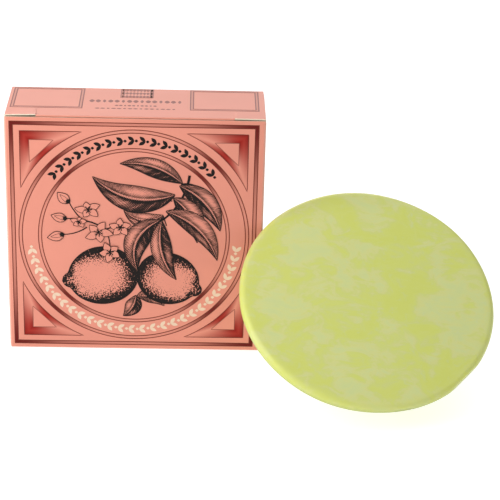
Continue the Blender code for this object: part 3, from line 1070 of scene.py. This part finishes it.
def soap_profile():
    """The puck's half section as radius and height: face, rim arc, straight taper, foot arc."""
    rim_angle = np.linspace(math.pi / 2, -PUCK_TAPER, 14)
    rim_x = PUCK_RADIUS - PUCK_RIM + PUCK_RIM * np.cos(rim_angle)
    rim_z = -PUCK_RIM + PUCK_RIM * np.sin(rim_angle)
    corner = rim_x[-1] - (PUCK_THICKNESS + rim_z[-1]) * math.tan(PUCK_TAPER)
    setback = PUCK_FOOT * math.tan((math.pi / 2 - PUCK_TAPER) / 2)
    foot_angle = np.linspace(-PUCK_TAPER, -math.pi / 2, 12)
    foot_x = corner - setback + PUCK_FOOT * np.cos(foot_angle)
    foot_z = PUCK_FOOT - PUCK_THICKNESS + PUCK_FOOT * np.sin(foot_angle)
    face_x = np.linspace(AXIS_GAP, rim_x[0], 40)[:-1]
    wall = np.linspace(0, 1, 16)[1:-1]
    wall_x = rim_x[-1] + (foot_x[0] - rim_x[-1]) * wall
    wall_z = rim_z[-1] + (foot_z[0] - rim_z[-1]) * wall
    under_x = np.linspace(foot_x[-1], AXIS_GAP, 14)[1:]
    radius = np.concatenate([face_x, rim_x, wall_x, foot_x, under_x])
    height = np.concatenate([0 * face_x, rim_z, wall_z, foot_z, 0 * under_x - PUCK_THICKNESS])
    return radius, height


def soap_surface():
    """The puck's skin: its profile turned about its axis, a little out of round and trimmed.

    The radius sways by a sum of cosines of the angle. A flat at angle a keeps it under
    (radius - depth) / cos(angle - a), which is a straight cut across the rim.
    """
    radius, height = soap_profile()
    angle = np.linspace(0, 2 * math.pi, ROWS, endpoint=False)[:, None]
    outer_share = np.clip(radius / PUCK_RADIUS, 0, 1) ** 4
    waves = 0.34 * np.cos(2 * angle) - 0.34 * np.sin(angle - 0.45) + 0.06 * np.cos(7 * angle + 2.2)
    spread = radius + outer_share * waves
    for degrees, depth in FLATS:
        away = np.cos(angle - math.radians(degrees))
        spread = np.minimum(spread, (PUCK_RADIUS - depth) / np.maximum(away, 0.5))
    sway = 0.12 * np.cos(2 * angle + radius / 9) * (radius / PUCK_RADIUS)
    up = height + sway * np.exp(height / 3)
    return spread * np.cos(angle), spread * np.sin(angle), up


lean = np.array(Matrix.Rotation(PUCK_TURN, 3, "Z") @ Matrix.Rotation(PUCK_TIP, 3, "X"))
skin = np.stack(soap_surface(), -1) @ lean.T + PUCK_PLACE
skin[..., 2] = np.maximum(skin[..., 2], 0.0)

rows, columns, _ = skin.shape
points = skin.reshape(-1, 3)
sides = quads(rows, columns, True)
poles = np.array([points[::columns].mean(0), points[columns - 1::columns].mean(0)])
near = np.arange(rows) * columns
far = (np.arange(rows) + 1) % rows * columns
pole = len(points)
face_fan = np.stack([near, np.full(rows, pole), far], -1)
foot_fan = np.stack([far + columns - 1, np.full(rows, pole + 1), near + columns - 1], -1)
soap_mesh = bpy.data.meshes.new("marbled_soap_puck")
soap_mesh.from_pydata(
    (np.concatenate([points, poles]) * MM).tolist(), [],
    sides.tolist() + face_fan.tolist() + foot_fan.tolist(),
)
soap_mesh.shade_smooth()
radius, height = soap_profile()
# A slightly paler, yellower band just inside the rim's edge, all the way round.
rim_band = np.clip((radius - PUCK_RADIUS + 3.2) / 1.6, 0, 1)
rim_values = np.concatenate([np.tile(rim_band, rows), [0, 0]])
soap_mesh.attributes.new("rim", "FLOAT", "POINT").data.foreach_set("value", rim_values)
# A band of painted shade just under the rim, where its lower edge faces down, away from the light.
drop = (height + PUCK_RIM + SHADE_BAND_DROP) / SHADE_BAND_HALF
under_rim_shade = np.exp(-(drop ** 2)) * (radius > PUCK_RADIUS - 5)
under_rim_shade_values = np.concatenate([np.tile(under_rim_shade, rows), [0, 0]])
soap_mesh.attributes.new("painted_under_rim_shade", "FLOAT", "POINT").data.foreach_set("value", under_rim_shade_values)
puck = bpy.data.objects.new("marbled_soap_puck", soap_mesh)
bring_in(puck)

# Milled soap is waxy and lets light in a few millimetres, so it glows softly at its edges. The
# two batches are drawn out into each other: patches 8 to 15 mm across, with soft ragged edges,
# and finer streaks and flecks of the paler batch. A darker band just under the rim is painted
# shade, where the rim's lower edge faces down.
PATCH = 17.0
STREAK = 6.0
FLECK = 2.2
GRAIN = 1.6
GRAIN_HIGH = 0.05
GLOW_DEPTH = 0.003      # metres
# From the yellow batch to the pale one: the two ends of the ramp, then what lies between them.
SOAP_RAMP = (
    (0.40, "#ced66b"), (0.62, "#ccd692"),
    (0.46, "#cfd773"), (0.495, "#cdd57e"), (0.53, "#d2d68b"), (0.57, "#cfd78f"),
)
PALE_FLECK = "#c9d5a4"
# the tint of that band round the rim
RIM_BAND_TINT = "#d0d67c"
PAINTED_UNDER_RIM_SHADE = "#94a04c"
milled_soap, tree, place = new_material("milled_soap")
clumps = {"Scale": 1 / (PATCH * MM), "Detail": 4.0, "Roughness": 0.5, "Distortion": 1.1}
patches = add_node(tree, "TexNoise", clumps, {"Vector": place})
drawn_out = {"Rotation": (0.0, 0.0, 0.35), "Scale": (0.55, 1.0, 1.0)}
lie = add_node(tree, "Mapping", drawn_out, {"Vector": place})
veins = {"Scale": 1 / (STREAK * MM), "Detail": 4.0, "Roughness": 0.6, "Distortion": 1.6}
streaks = add_node(tree, "TexNoise", veins, {"Vector": lie})
specks = {"Scale": 1 / (FLECK * MM), "Detail": 2.0, "Distortion": 0.6}
flecks = add_node(tree, "TexNoise", specks, {"Vector": place})
two_batches = add_node(tree, "MixRGB", {0: 0.42}, {1: patches, 2: streaks})
grey = add_node(tree, "RGBToBW", {}, {"Color": two_batches})
ramp = add_node(tree, "ValToRGB", {}, {"Fac": grey})
stops = ramp.color_ramp.elements
for number, (position, code) in enumerate(SOAP_RAMP):
    stop = stops[number] if number < 2 else stops.new(position)
    stop.position, stop.color = position, linear(code)
few = {"From Min": 0.60, "From Max": 0.74, "To Min": 0.0, "To Max": 0.3}
paler = add_node(tree, "MapRange", few, {"Value": flecks})
flecked = add_node(tree, "MixRGB", {2: linear(PALE_FLECK)}, {0: paler, 1: ramp})
rim = add_node(tree, "Attribute", {"attribute_name": "rim"}).outputs["Fac"]
rim_part = add_node(tree, "Math", {"operation": "MULTIPLY", 1: 0.45}, {0: rim})
rimmed = add_node(tree, "MixRGB", {2: linear(RIM_BAND_TINT)}, {0: rim_part, 1: flecked})
# darkened there: painted shade under the rim
painted_under_rim_shade = add_node(tree, "Attribute", {"attribute_name": "painted_under_rim_shade"}).outputs["Fac"]
coloured = add_node(tree, "MixRGB", {2: linear(PAINTED_UNDER_RIM_SHADE)}, {0: painted_under_rim_shade, 1: rimmed})
grain = add_node(tree, "TexNoise", {"Scale": 1 / (GRAIN * MM), "Detail": 5.0}, {"Vector": place})
raised = {"Strength": 0.3, "Distance": GRAIN_HIGH * MM}
grain_bump = add_node(tree, "Bump", raised, {"Height": grain})
sheen = {"From Min": 0.3, "From Max": 0.7, "To Min": 0.36, "To Max": 0.5}
gloss = add_node(tree, "MapRange", sheen, {"Value": streaks})
soap_shader = add_node(
    tree, "BsdfPrincipled", {"IOR": 1.45, "Subsurface Weight": 0.35, "Subsurface Scale": GLOW_DEPTH,
     "Subsurface Radius": (1.0, 0.9, 0.45)},
    {"Base Color": coloured, "Roughness": gloss, "Normal": grain_bump},
)
add_node(tree, "OutputMaterial", {}, {"Surface": soap_shader})
soap_mesh.materials.append(milled_soap)
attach(puck, "soap")
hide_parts("soap_puck")
